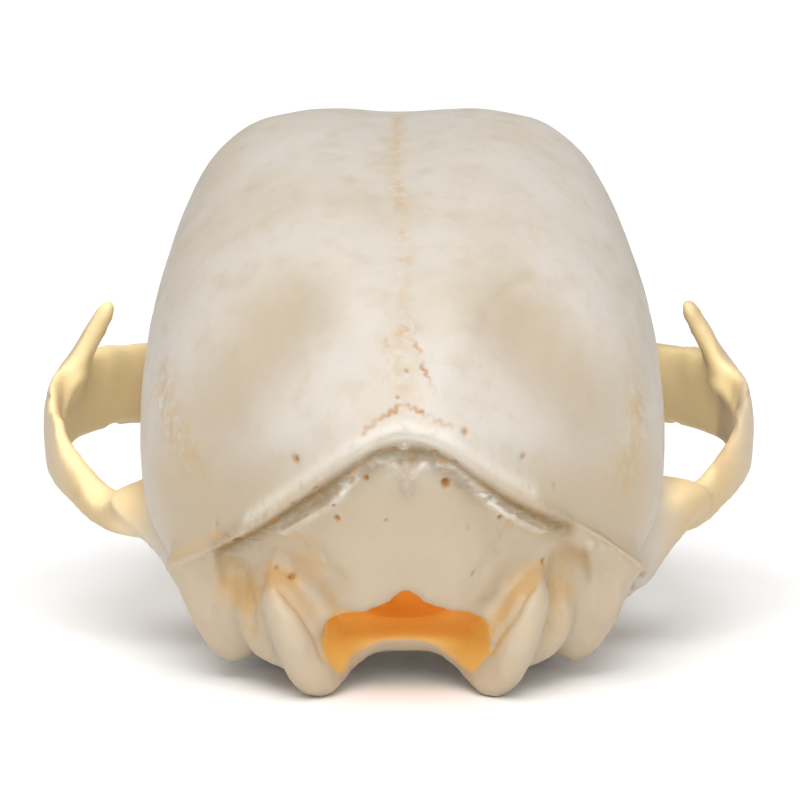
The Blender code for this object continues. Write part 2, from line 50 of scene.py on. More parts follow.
picture = {
    "side": 800,            # the photograph is this many pixels wide and high
    "focal": 3859.0,        # focal length in the photograph's pixels
    "sensor": 36.0,         # mm
    "distance": 450.0,      # mm from the target
    "azimuth": -0.96,       # degrees, seen from behind
    "elevation": 8.25,
    "target": (-0.01, -12.47, 26.81),  # mm
}
azimuth, elevation = math.radians(picture["azimuth"]), math.radians(picture["elevation"])
backwards = Vector((math.sin(azimuth) * math.cos(elevation), -math.cos(azimuth) * math.cos(elevation),
                    math.sin(elevation)))
eye = Vector(picture["target"]) + backwards * picture["distance"]
gaze = (-backwards).to_track_quat("-Z", "Y")

cameraData = bpy.data.cameras.new("pictureCamera")
cameraData.sensor_width = picture["sensor"]
cameraData.lens = picture["focal"] / picture["side"] * picture["sensor"]
cameraData.clip_start = 0.01
cameraData.clip_end = 20.0
camera = bpy.data.objects.new("pictureCamera", cameraData)
camera.location = eye * millimetre
camera.rotation_mode = "QUATERNION"
camera.rotation_quaternion = gaze
bpy.context.scene.collection.objects.link(camera)
bpy.context.scene.camera = camera


# Meshes as arrays of points in millimetres

def pointsOf(made):
    flat = np.empty(len(made.data.vertices) * 3, np.float32)
    made.data.vertices.foreach_get("co", flat)
    return flat.reshape(-1, 3).astype(float)


def setPoints(made, points):
    made.data.vertices.foreach_set("co", points.astype(np.float32).ravel())
    made.data.update()


def normalsOf(made):
    flat = np.empty(len(made.data.vertices) * 3, np.float32)
    made.data.vertex_normals.foreach_get("vector", flat)
    return flat.reshape(-1, 3).astype(float)


def edgesOf(made):
    flat = np.empty(len(made.data.edges) * 2, np.int32)
    made.data.edges.foreach_get("vertices", flat)
    return flat.reshape(-1, 2)


def newObject(name, bm):
    mesh = bpy.data.meshes.new(name)
    bm.to_mesh(mesh)
    bm.free()
    made = bpy.data.objects.new(name, mesh)
    bpy.context.scene.collection.objects.link(made)
    return made


def applyModifiers(made):
    graph = bpy.context.evaluated_depsgraph_get()
    mesh = bpy.data.meshes.new_from_object(made.evaluated_get(graph))
    made.modifiers.clear()
    old = made.data
    made.data = mesh
    bpy.data.meshes.remove(old)


# Evens out facets. With keepSize each pull inwards is followed by nearly the same push outwards.
def relax(points, edges, rounds, strength=0.6, keepSize=True):
    first, second = edges.T
    links = np.bincount(edges.ravel(), minlength=len(points))[:, None]
    for _ in range(rounds):
        for pull in (strength, -strength * 1.03)[:2 if keepSize else 1]:
            sums = [np.bincount(first, points[second, k], len(points))
                    + np.bincount(second, points[first, k], len(points)) for k in range(3)]
            points = points + (np.stack(sums, 1) / links - points) * pull
    return points


# Soft random lumps of one size, from -1 to 1
def grain(points, size, seed):
    cell = points / size + seed * 17.3
    corner = np.floor(cell)
    t = cell - corner
    t = t * t * (3 - 2 * t)
    total = np.zeros(len(points))
    for index in range(8):
        offset = np.array([(index >> k) & 1 for k in range(3)])
        draw = np.sin((corner + offset) @ (12.9898, 78.233, 37.719) + seed) * 43758.5453
        total += (draw - np.floor(draw)) * np.prod(np.where(offset, t, 1 - t), axis=1)
    return total * 2 - 1


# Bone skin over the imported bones

skin = {
    "nodes": ("occipital", "braincase", "muzzle", "zygomatic_right", "zygomatic_left",
              "bulla_right", "bulla_left"),
    "weld": 0.002,          # mm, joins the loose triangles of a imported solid
    "voxel": 0.9,           # mm between the skin's points before the finer places are divided
    "swell": 0.24,          # mm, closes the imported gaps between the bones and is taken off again
    "evening": 10,          # rounds that even out the solids' facets
}


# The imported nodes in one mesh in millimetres, each closed
def solidCopy(nodes):
    bm = bmesh.new()
    for node in nodes:
        bm.from_mesh(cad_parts[node].data)
    bmesh.ops.scale(bm, vec=[1 / millimetre] * 3, verts=bm.verts)
    bmesh.ops.remove_doubles(bm, verts=bm.verts, dist=skin["weld"])
    bm.normal_update()
    return bm


def remeshed(name, bm, voxel):
    made = newObject(name, bm)
    remesh = made.modifiers.new("remesh", "REMESH")
    remesh.mode = "VOXEL"
    remesh.voxel_size = voxel
    applyModifiers(made)
    return made


swollen = solidCopy(skin["nodes"])
for vertex in swollen.verts:
    vertex.co += vertex.normal * skin["swell"]
bone = remeshed("skullBone", swollen, skin["voxel"])
points = relax(pointsOf(bone), edgesOf(bone), skin["evening"])
setPoints(bone, points)
setPoints(bone, points - normalsOf(bone) * skin["swell"])
print("bone skin:", len(bone.data.polygons), "faces")


# Lines drawn on the bone

rays = {
    "start": 300.0,         # mm from the middle, clear of the skull
    "insideArch": 32.0,     # mm from the middle, between the temple and the cheek arch
    "gap": 3.0,             # mm, past which two neighbouring points lie on either side of an opening
}


def treeOf(made):
    return BVHTree.FromPolygons(pointsOf(made).tolist(), [p.vertices[:] for p in made.data.polygons])


# Start and direction of a ray: through a picture point, or square to one side of the skull
def ray(side, a, b):
    if side == "picture":
        half = picture["side"] / 2
        way = Vector(((a - half) / picture["focal"], (half - b) / picture["focal"], -1))
        return eye, gaze @ way.normalized()
    return {
        "above": (Vector((a, b, rays["start"])), Vector((0, 0, -1))),
        "below": (Vector((a, b, -rays["start"])), Vector((0, 0, 1))),
        "right": (Vector((rays["start"], a, b)), Vector((-1, 0, 0))),
        "left": (Vector((-rays["start"], a, b)), Vector((1, 0, 0))),
        "rightTemple": (Vector((rays["insideArch"], a, b)), Vector((-1, 0, 0))),
        "leftTemple": (Vector((-rays["insideArch"], a, b)), Vector((1, 0, 0))),
    }[side]


# Even points on a smooth curve through flat corners
def flow(corners, spacing):
    corners = np.array(corners, float)
    slopes = np.gradient(corners, axis=0)
    runs = []
    for i in range(len(corners) - 1):
        count = max(2, int(np.linalg.norm(corners[i + 1] - corners[i]) / spacing) + 1)
        t = np.linspace(0, 1, count, endpoint=i == len(corners) - 2)[:, None]
        runs.append((2 * t**3 - 3 * t**2 + 1) * corners[i] + (t**3 - 2 * t**2 + t) * slopes[i]
                    + (3 * t**2 - 2 * t**3) * corners[i + 1] + (t**3 - t**2) * slopes[i + 1])
    return np.concatenate(runs)


# A suture: the curve winding to either side, now tightly and now loosely. Its teeth are about pitch apart.
def zigzag(corners, pitch, swing, seed):
    rows = flow(corners, pitch / 5)
    across = np.gradient(rows, axis=0)[:, ::-1] * (-1, 1)
    across /= np.linalg.norm(across, axis=1)[:, None] + 1e-9
    draw = np.random.default_rng(seed)
    phase = np.cumsum(draw.uniform(0.3, 1.9, len(rows)))
    knots = np.arange(0, len(rows) + 6, 6)
    reach = np.interp(np.arange(len(rows)), knots, draw.uniform(0.3, 1.2, len(knots)))
    return rows + across * (reach * swing * np.sin(phase))[:, None]


# Flat rows laid on the bone. A row that misses it is left out.
def laid(side, rows):
    hits = [boneTree.ray_cast(*ray(side, *row))[0] for row in rows]
    return np.array([hit for hit in hits if hit is not None]).reshape(-1, 3)


# Distance from each point to a path, infinite beyond reach
def distanceTo(points, path, reach):
    far = np.full(len(points), np.inf)
    path = path if len(path) > 1 else np.repeat(path, 2, axis=0)
    for start in range(0, len(path) - 1, 10):
        run = path[start:start + 11]
        near = np.flatnonzero(((points > run.min(0) - reach) & (points < run.max(0) + reach)).all(1))
        for a, b in zip(run[:-1], run[1:]):
            along = b - a
            if along @ along > rays["gap"] ** 2:
                continue
            t = np.clip((points[near] - a) @ along / max(along @ along, 1e-9), 0, 1)
            apart = np.linalg.norm(points[near] - a - t[:, None] * along, axis=1)
            far[near] = np.minimum(far[near], apart)
    return far


# Halves the faces that lie within reach of the paths
def refine(made, paths, reach):
    bm = bmesh.new()
    bm.from_mesh(made.data)
    centres = np.array([face.calc_center_median() for face in bm.faces])
    close = np.zeros(len(centres), bool)
    for path in paths:
        close |= distanceTo(centres, path, reach) < reach
    edges = {edge for face, chosen in zip(bm.faces, close) if chosen for edge in face.edges}
    bmesh.ops.subdivide_edges(bm, edges=list(edges), cuts=1, use_grid_fill=True)
    bmesh.ops.triangulate(bm, faces=[face for face in bm.faces if len(face.verts) > 4])
    bm.to_mesh(made.data)
    bm.free()


# Marks of the skull's back, drawn in the photograph's pixels

crest = {
    "rim": ((165, 566), (190, 558), (216, 546), (250, 528), (290, 500), (330, 472), (360, 453), (385, 442),
            (405, 438), (426, 442), (447, 450), (480, 472), (530, 502), (562, 518), (602, 538), (641, 566)),
    "rimOut": 1.1,          # mm that the rim stands out backwards
    "rimWidth": 0.55,
    "bankOut": 0.25,        # mm, the broad bank that carries the rim
    "bankWidth": 1.6,
    "trough": ((226, 549), (250, 537), (290, 512), (330, 488), (360, 470), (385, 457), (403, 455),
               (426, 457), (447, 466), (480, 488), (530, 514), (562, 529)),
    "troughDeep": 1.1,
    "troughWidth": 1.25,
    "lip": (((284, 531), (304, 519), (330, 503), (350, 484), (368, 470), (392, 463), (402, 474)),
            ((412, 474), (422, 466), (446, 468), (474, 488), (505, 512), (540, 530))),
    "lipOut": 0.75,
    "lipWidth": 0.5,
    "keel": ((404, 440), (405, 456), (406, 474), (408, 490)),
    "keelOut": 0.8,
    "keelWidth": 0.5,
    "browRise": 10,         # pixels above the rim where the painted highlight line runs
    "outwards": (0, -1, 0.1),  # the way that the crest stands out
}

# The relief gives each kind of line its width and height in mm, and where it also tints the bone, the mask,
# its width in mm and its share
nape = {
    "fields": (((230, 560), (290, 540), (350, 500), (405, 500), (460, 505), (520, 540), (575, 560)),
               ((240, 600), (330, 580), (405, 560), (480, 580), (560, 600)),
               ((290, 610), (300, 650), (320, 680)),
               ((520, 610), (510, 650), (490, 680))),
    "hollows": (((236, 576), (243, 600), (245, 624)), ((563, 572), (559, 598), (556, 622))),
    "lobeRidges": (((214, 553), (217, 584), (211, 603), (208, 619)),
                   ((590, 545), (592, 578), (591, 594), (594, 615)),
                   ((615, 580), (614, 603), (602, 619))),
    "condyleNecks": (((288, 566), (304, 584), (322, 604)), ((532, 562), (512, 582), (494, 604))),
    "condyleEdges": (((284, 592), (301, 613), (314, 634), (322, 652)),
                     ((529, 590), (515, 615), (499, 634), (492, 646)),
                     ((259, 585), (257, 605), (262, 630), (274, 656)),
                     ((549, 588), (554, 615), (550, 636), (540, 656))),
    "swells": (((330, 540), (352, 566), (360, 590)), ((480, 540), (462, 566), (452, 590))),
    "foramenEdge": ((318, 642), (320, 636), (328, 625), (343, 618), (363, 615), (386, 605), (399, 594),
                    (408, 591), (420, 603), (441, 611), (463, 618), (480, 623), (490, 634), (492, 640)),
    "creases": (((216, 532), (232, 538), (248, 540)),
                ((484, 537), (492, 546), (500, 552)),
                ((320, 548), (328, 560)),
                ((500, 540), (508, 526), (516, 514)),
                ((290, 560), (280, 548), (262, 545))),
    "relief": {
        # The stain in the hollows beside the condyles and in the creases is painted shade
        "hollows": (1.9, -1.3, "stain", 2.0, 0.8),
        "lobeRidges": (0.6, 0.6),
        "condyleNecks": (1.3, -0.6),
        "condyleEdges": (0.65, -0.45),
        "swells": (2.6, 0.35),
        "creases": (0.35, -0.2, "stain", 0.4, 0.3),
    },
    "fieldWidth": 3.0,      # mm to each side that the uneven fields reach
}

# Each pit: place, radius in millimetres, depth in millimetres, darkness
pits = ((297, 459, 0.5, 0.6, 0.9), (333, 502, 0.25, 0.4, 1.0), (337, 517, 0.4, 0.5, 0.9),
        (364, 478, 0.35, 0.4, 0.8), (308, 516, 0.25, 0.3, 0.6), (385, 521, 0.25, 0.3, 0.6),
        (292, 574, 0.45, 0.7, 0.9), (277, 566, 0.3, 0.4, 0.7), (237, 537, 0.55, 0.6, 0.9),
        (217, 525, 0.35, 0.4, 0.7), (447, 483, 0.6, 0.8, 1.0), (466, 433, 0.45, 0.5, 0.8),
        (521, 455, 0.4, 0.4, 0.5), (553, 485, 0.3, 0.3, 0.4), (500, 518, 0.3, 0.4, 0.7),
        (468, 526, 0.3, 0.2, 0.3), (545, 562, 0.4, 0.7, 0.9), (472, 573, 0.3, 0.3, 0.6),
        (407, 372, 0.25, 0.3, 0.8), (398, 398, 0.22, 0.3, 0.7), (314, 483, 0.4, 0.4, 0.8),
        (305, 499, 0.35, 0.4, 0.8), (293, 499, 0.35, 0.4, 0.8), (380, 455, 0.45, 0.4, 0.7),
        (394, 452, 0.4, 0.4, 0.8), (432, 452, 0.45, 0.4, 0.8), (455, 459, 0.4, 0.4, 0.8),
        (344, 476, 0.3, 0.3, 0.6), (642, 574, 0.35, 0.5, 0.7), (632, 590, 0.3, 0.4, 0.6),
        (392, 682, 0.2, 0.2, 0.4), (292, 678, 0.3, 0.2, 0.5))

vault = {
    "stain": ((397, 112), (399, 130), (394, 158), (398, 193), (403, 221), (404, 263), (405, 300),
              (400, 345)),
    "knot": (((404, 319), (412, 324), (413, 331), (406, 334), (402, 328)),),
    "groove": (((404, 225), (405, 262), (404, 300)),),
    "sutures": (((388, 340), (385, 352), (388, 366), (386, 382)),
                ((413, 338), (420, 352), (425, 372), (436, 394)),
                ((362, 434), (377, 420), (390, 413), (402, 406), (411, 408), (423, 414), (437, 421),
                 (451, 429))),
    "sutureTeeth": (9, 2.6),  # pixels between the teeth, and how far they swing
    "table": ((400, 350), (402, 372), (404, 395)),
    "hollows": (((282, 318), (262, 345), (236, 380), (216, 408)),
                ((522, 330), (548, 360), (572, 384), (594, 404))),
    "ridges": (((318, 298), (345, 318), (371, 345), (388, 380)),
               ((496, 298), (474, 324), (460, 352), (436, 392))),
    "rightLine": (((528, 273), (507, 287), (493, 305), (483, 329)),),
    "scales": (((160, 380), (170, 420), (190, 462)), ((640, 404), (636, 440), (626, 478))),
    "lumps": (((330, 440), (300, 462), (262, 500)), ((470, 440), (510, 462), (555, 500))),
    "relief": {
        "hollows": (6.0, -0.5, "hollow", 7.5, 0.8),
        "ridges": (2.2, 0.3),
        "rightLine": (0.8, -0.16, "hollow", 1.1, 0.7),
        "lumps": (3.5, 0.35),
        "groove": (1.0, -0.18),
        "knot": (0.35, 0.22),
        "farSutures": (0.25, -0.14, "ochre", 0.22, 0.5),
    },
    "scaleWidth": 2.6,      # mm
    "stainWidth": 0.85,
    "tableWidth": 2.2,
    "sutureWidth": 0.22,
    "sutureDeep": 0.16,
}

arches = {
    "innerRidges": (((90, 373), (74, 384), (66, 404), (60, 432)), ((711, 383), (725, 393), (740, 419))),
    "scratches": (((66, 488), (76, 494), (88, 502)), ((72, 500), (84, 506))),
    "tipRoots": (((104, 336), (108, 352), (112, 368)), ((696, 336), (694, 352), (692, 368))),
    "tips": (((112, 304), (106, 318), (102, 334)), ((682, 304), (690, 318), (697, 334))),
    "relief": {
        "innerRidges": (0.8, 0.35),
        "tips": (1.5, 0.25),
        "tipRoots": (2.2, 0.45),
        "scratches": (0.25, 0.0, "stain", 0.25, 0.5),
    },
}

# Sutures of the unseen sides: side of view, corners in millimetres, and the size of their teeth
sutures = (
    ("above", ((-25, -4), (-15, 2), (-5, 4.5), (0, 5), (5, 4.5), (15, 2), (25, -4)), 1.6, 0.8),
    ("above", ((0, 5), (0.4, 14), (-0.3, 22), (0, 28)), 1.8, 0.35),
    ("above", ((-6.5, 52), (-5.5, 40), (-3.5, 31), (0, 28), (3.5, 31), (5.5, 40), (6.5, 52)), 1.6, 0.3),
    ("above", ((0, 28), (0.2, 38), (0, 50)), 2.4, 0.15),
    ("above", ((5.5, 36), (10, 31), (14.5, 26)), 1.4, 0.5),
    ("above", ((-5.5, 36), (-10, 31), (-14.5, 26)), 1.4, 0.5),
    ("rightTemple", ((-28, 33), (-20, 35), (-8, 32), (0, 25)), 2.0, 0.4),
    ("leftTemple", ((-28, 33), (-20, 35), (-8, 32), (0, 25)), 2.0, 0.4),
    ("right", ((55, 17), (50, 27), (43, 37)), 1.6, 0.4),
    ("left", ((55, 17), (50, 27), (43, 37)), 1.6, 0.4),
    ("right", ((-8, 27), (-2, 25), (6, 22)), 1.2, 0.3),
    ("left", ((-8, 27), (-2, 25), (6, 22)), 1.2, 0.3),
    ("below", ((0, 20), (0.2, 32), (0, 50)), 1.8, 0.25),
    ("below", ((-11, 24), (-7, 30), (0, 33), (7, 30), (11, 24)), 1.5, 0.4),
    ("below", ((-8.6, -20), (0, -20.4), (8.6, -20)), 1.2, 0.2),
    ("below", ((-12, 47), (0, 46), (12, 47)), 1.5, 0.3),
)

boneTree = treeOf(bone)


def drawn(paths, spacing=4):
    return [laid("picture", flow(path, spacing)) for path in paths]


rimPath, troughPath, keelPath = drawn((crest["rim"], crest["trough"], crest["keel"]))
browPath, = drawn(([(a, b - crest["browRise"]) for a, b in crest["rim"][3:-3]],))
lipPaths = drawn(crest["lip"])
vaultSutures, farSutures = [], []
for i, path in enumerate(vault["sutures"]):
    vaultSutures.append(laid("picture", zigzag(path, *vault["sutureTeeth"], i)))
for i, (side, path, pitch, swing) in enumerate(sutures):
    farSutures.append(laid(side, zigzag(path, pitch, swing, 20 + i)))
stainPath, tablePath = drawn((vault["stain"], vault["table"]))
pitPaths = [laid("picture", [pit[:2]]) for pit in pits]
pits, pitPaths = zip(*[(pit, path) for pit, path in zip(pits, pitPaths) if len(path)])
foramenEdge, = drawn((nape["foramenEdge"],), 3)
scalePaths = drawn(vault["scales"])

# The last number of each call is its reach in millimetres
refine(bone, drawn(nape["fields"], 10) + [tablePath], 3.2)
refine(bone, scalePaths + drawn(arches["innerRidges"]), 2.0)
refine(bone, [rimPath, keelPath, foramenEdge] + lipPaths, 1.4)
print("refined once:", len(bone.data.polygons), "faces")
setPoints(bone, relax(pointsOf(bone), edgesOf(bone), 3))
refine(bone, farSutures, 0.5)
refine(bone, farSutures, 0.3)
refine(bone, vaultSutures + drawn(vault["knot"]), 0.8)
refine(bone, vaultSutures, 0.4)
refine(bone, [rimPath, troughPath, keelPath] + lipPaths + list(pitPaths), 0.9)
print("refined twice:", len(bone.data.polygons), "faces")

points = pointsOf(bone)
edges = edgesOf(bone)
points = relax(points, edges, 2, strength=0.4)
setPoints(bone, points)
masks = {name: np.zeros(len(points)) for name in ("ochre", "ash", "chalk", "stain", "hollow", "paintedGlow")}


def bump(path, width):
    return np.exp(-(distanceTo(points, path, width * 3) / width) ** 2)


def mark(name, values):
    masks[name] = np.maximum(masks[name], values)


# Raises or sinks the bone by an amount for each point, along its own normals or one direction
def lift(amount, along=None):
    global points
    way = normalsOf(bone) if along is None else np.array(along, float)
    points = points + way * np.asarray(amount)[:, None]
    setPoints(bone, points)


# One kind of line: its relief, then its tint
def carve(paths, width, height, tint=None, tintWidth=0.0, share=0.0):
    for path in paths:
        if height:
            lift(bump(path, width) * height)
        if tint:
            mark(tint, share * bump(path, tintWidth))


# The vault's hollows and the line on the right side are sunk and tinted with painted shade
for kind in ("hollows", "ridges", "rightLine", "lumps"):
    carve(drawn(vault[kind]), *vault["relief"][kind])
for path in scalePaths:
    patch = bump(path, vault["scaleWidth"])
    lift(patch * (grain(points, 1.5, 3) * 0.16 + np.abs(grain(points, 0.9, 5)) * -0.22))
    mark("stain", 0.5 * patch)
patchy = np.clip(0.55 + 0.3 * grain(points, 1.4, 8) + 0.3 * grain(points, 5, 9), 0, 1)
mark("stain", bump(stainPath, vault["stainWidth"]) * patchy)
for kind in ("groove", "knot"):
    carve(drawn(vault[kind]), *vault["relief"][kind])
lift(bump(tablePath, vault["tableWidth"]) * (0.1 + 0.12 * grain(points, 1.1, 11)))
mark("stain", 0.5 * bump(tablePath, 2.0) * (0.5 + 0.5 * grain(points, 0.8, 12)))
for path in vaultSutures:
    broken = np.clip(0.6 + 0.7 * grain(points, 1.0, 15), 0, 1)
    lift(bump(path, vault["sutureWidth"]) * -vault["sutureDeep"] * broken)
    mark("ochre", 0.9 * bump(path, vault["sutureWidth"]) * broken)
carve(farSutures, *vault["relief"]["farSutures"])
print("vault marked")

for kind, relief in nape["relief"].items():
    carve(drawn(nape[kind]), *relief)
for path in drawn(nape["fields"], 10):
    field = bump(path, nape["fieldWidth"])
    lift(field * (grain(points, 3.4, 41) * 0.26 + grain(points, 1.3, 43) * 0.11))
    # Painted shade in the sunken patches of the nape
    mark("hollow", 0.5 * field * np.clip(grain(points, 3.4, 41) * -1.5, 0, 1))
lift(bump(foramenEdge, 0.9) * (0.12 + 0.2 * grain(points, 1.4, 21)))

crestWay = crest["outwards"]
lift(bump(rimPath, crest["bankWidth"]) * crest["bankOut"], crestWay)
lift(bump(rimPath, crest["rimWidth"]) * (crest["rimOut"] + 0.18 * grain(points, 1.2, 30)), crestWay)
troughFloor = -crest["troughDeep"] + 0.28 * grain(points, 0.7, 31)
lift(bump(troughPath, crest["troughWidth"]) * troughFloor, crestWay)
for path in lipPaths:
    lift(bump(path, crest["lipWidth"]) * (crest["lipOut"] + 0.25 * grain(points, 1.3, 33)), crestWay)
lift(bump(keelPath, crest["keelWidth"]) * (crest["keelOut"] + 0.25 * grain(points, 0.8, 34)), crestWay)
for kind, relief in arches["relief"].items():
    carve(drawn(arches[kind]), *relief)
for (_, _, radius, depth, dark), path in zip(pits, pitPaths):
    path = np.array([points[np.argmin(np.linalg.norm(points - path[0], axis=1))]])
    dip = bump(path, radius * 0.72)
    lift(dip * -depth)
    mark("ochre", np.clip(dip * 1.4, 0, 1) * dark * 0.9)
print("crest and nape carved")


# Shelter: how much of the sky each point of bone is hidden from

shelter = {
    "rays": 14,
    "reach": 22.0,          # mm, past which nothing hides the sky
    "lift": 0.3,            # mm off the bone where each ray starts
    "seed": 4,
}


def shelterOf(made):
    tree = treeOf(made)
    draw = np.random.default_rng(shelter["seed"])
    ways = draw.normal(size=(shelter["rays"], 3))
    ways /= np.linalg.norm(ways, axis=1)[:, None]
    starts, out = pointsOf(made), normalsOf(made)
    hidden, weights = np.zeros(len(starts)), np.zeros(len(starts))
    for way in ways:
        facing = out @ way
        way = np.where(facing[:, None] < 0, -way, way)
        facing = np.abs(facing)
        for i, (start, direction) in enumerate(zip(starts + out * shelter["lift"], way)):
            if tree.ray_cast(Vector(start), Vector(direction), shelter["reach"])[0] is not None:
                hidden[i] += facing[i]
        weights += facing
    return hidden / weights


masks["shelter"] = relax(shelterOf(bone)[:, None].repeat(3, 1), edges, 3, keepSize=False)[:, 0]
print("shelter measured")

# The brain cavity and the passage into it, which get a painted orange glow standing for daylight through
# the thin vault: middle, radii, the shelter above which a point counts as inside, and the share of the glow
chambers = (((0, -37.2, 18.1), (14.5, 14.0, 13.4), 0.45, 1.0),
            ((0, -46.5, 6.4), (10.3, 9.5, 6.6), 0.2, 0.72))
for middle, radii, least, most in chambers:
    depth = 1.15 - np.linalg.norm((points - middle) / radii, axis=1)
    mark("paintedGlow", most * np.clip(depth * 5, 0, 1) * np.clip((masks["shelter"] - least) / 0.2, 0, 1))
# Grey-brown dirt and painted shade lie in the trough under the crest's overhang and along its rim, whiter
# bone and a painted highlight on what stands out: the lines, their widths in millimetres and their shares
for path, width, share in ((troughPath, 1.5, 1.0), (rimPath, 0.4, 0.85), (keelPath, 1.0, 0.35)):
    mark("ash", share * bump(path, width))
for path, width, share in ((browPath, 0.9, 0.6), (keelPath, 0.45, 0.8)):
    mark("chalk", share * bump(path, width))
for path in lipPaths:
    mark("chalk", bump(path, 0.55))
for name, values in masks.items():
    layer = bone.data.attributes.new(name, "FLOAT", "POINT")
    layer.data.foreach_set("value", np.clip(values, 0, 1).astype(np.float32))


# Materials

# sRGB hex to linear colour
def colour(hexText):
    parts = [int(hexText[i:i + 2], 16) / 255 for i in (1, 3, 5)]
    return (*[p / 12.92 if p <= 0.04045 else ((p + 0.055) / 1.055) ** 2.4 for p in parts], 1)


# A node with its settings, the sockets it takes from, and its own socket values
def addNode(tree, kind, settings=None, links=None, **inputs):
    node = tree.nodes.new(kind)
    for key, value in (settings or {}).items():
        setattr(node, key, value)
    for key, value in inputs.items():
        node.inputs[key].default_value = value
    for key, source in (links or {}).items():
        tree.links.new(source, node.inputs[key])
    return node


# Scale of a pattern whose lumps are size mm apart, on coordinates in metres
def patternScale(size):
    return 1 / (size * millimetre)


def newMaterial(name):
    material = bpy.data.materials.new(name)
    material.use_nodes = True
    return material, material.node_tree, material.node_tree.nodes["Principled BSDF"]


boneLook = {
    "ivory": "#c9c2b8",
    "cream": "#c1b6a5",
    # painted shade in the hollows of the vault and nape, also random cloudy tone
    "hollow": "#b4a287",
    "warm": "#c9a676",       # bone in the shade of other bone
    "yellow": "#ccb080",     # cheek arches: partly yellow from fat that stayed in the bone, partly painted light passing through and bouncing between the bones
    "sand": "#bdac93",       # nape and condyles
    "orange": "#e3b35c",     # painted glow in the brain cavity and the passage into it
    "amber": "#fbe2ac",      # painted light on the inner side of the cheek arches, standing for light that comes through the bone
    # real stains, and painted shade in the nape's hollows and creases
    "stain": "#bd9c63",
    "ochre": "#b0762c",
    # grey-brown dirt with painted shade in the trough under the crest and along its rim
    "ash": "#857049",
    # whiter raised bone, and a painted highlight along the brow above the crest
    "chalk": "#e2ddd2",
    "roughness": 0.5,
    "ior": 1.55,             # bone mineral
    "archFrom": 0.027,       # metres from the middle where the cheek arches turn yellow
    "archTo": 0.034,
    "napeFrom": -0.036,      # metres forward of the middle where the nape's tone fades in
    "napeTo": -0.042,
    "paintedGlow": 0.34,
    "blotches": 14,          # mm apart, ivory to cream
    "clouds": 3.2,
    "stainGrain": 1.2,
    "ashGrain": 0.7,
    "ashRust": 1.6,
    "chalkGrain": 1.1,
    "pores": 0.8,
    "dents": 2.2,
    "fineGrain": 0.45,
    "waxDepth": 1.0,         # mm that light travels under the surface
}


